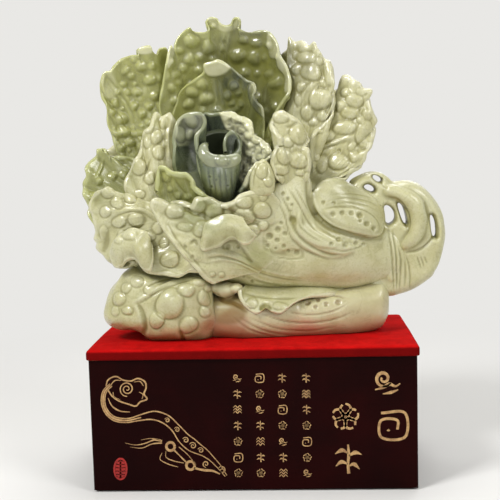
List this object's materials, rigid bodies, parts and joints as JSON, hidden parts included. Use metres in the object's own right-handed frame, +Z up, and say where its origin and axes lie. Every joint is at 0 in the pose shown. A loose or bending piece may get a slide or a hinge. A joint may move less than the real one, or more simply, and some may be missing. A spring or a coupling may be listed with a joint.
{
  "type": "jade cabbage carving on plinth",
  "caption": "Carved pale green stone cabbage with ruffled leaves, curled heart, stalk and pierced root, resting on a velvet topped lacquered display plinth.",
  "frame": {"origin": "middle of the base felt's underside, on the table", "axes": "+X to the viewer's right along the plinth's front, +Y away from the viewer, +Z up"},
  "size_m": [0.382, 0.176, 0.4794],
  "materials": {
    "jade_pale": "polished pale cream green serpentine jade",
    "jade_olive": "polished olive yellow translucent serpentine jade",
    "jade_dark": "polished dark grey green serpentine jade",
    "jade_stained": "polished pale jade stained pinkish brown along its base",
    "velvet": "red velvet",
    "wadding": "thin wadding",
    "lacquer": "dark wine red lacquer with gold design on the front",
    "bare_board": "bare board",
    "felt": "black felt"
  },
  "bodies": {
    "plinth": {"front_panel": "lacquer", "right_panel": "lacquer", "back_panel": "lacquer", "left_panel": "lacquer", "top_panel": "bare_board", "bottom_panel": "bare_board", "centre_rib": "bare_board", "corner_block_1": "bare_board", "corner_block_2": "bare_board", "corner_block_3": "bare_board", "corner_block_4": "bare_board", "pad_board": "bare_board", "pad_wadding": "wadding", "velvet_cover": "velvet", "base_felt": "felt"},
    "carving": {"head_core": "jade_pale", "front_fold": "jade_pale", "front_left_fold": "jade_pale", "lower_fold": "jade_pale", "heart_lobe": "jade_pale", "right_inner": "jade_pale", "front_centre": "jade_pale", "left_inner": "jade_pale", "front_left": "jade_pale", "base_leaf": "jade_pale", "petiole_front": "jade_pale", "petiole_upper": "jade_pale", "root_loop": "jade_pale", "root_finger": "jade_pale", "root": "jade_pale", "stalk": "jade_pale", "outer_right": "jade_pale", "upper_right": "jade_pale", "petiole_back": "jade_pale", "rear_right": "jade_pale", "rear_left": "jade_pale", "rear_low": "jade_pale", "heart_side": "jade_olive", "far_left": "jade_olive", "upper_left": "jade_olive", "inner_back": "jade_olive", "top_back": "jade_olive", "rear_centre": "jade_olive", "heart_bud": "jade_dark", "heart_curl": "jade_dark", "heart_left": "jade_dark", "heart_crust": "jade_dark", "lower_head": "jade_stained"}
  },
  "joints": [
    {"name": "carving_lift", "type": "slide", "parent": "plinth", "child": "carving", "axis": [0, 0, 1], "range_m": [0, 0.06]}
  ]
}
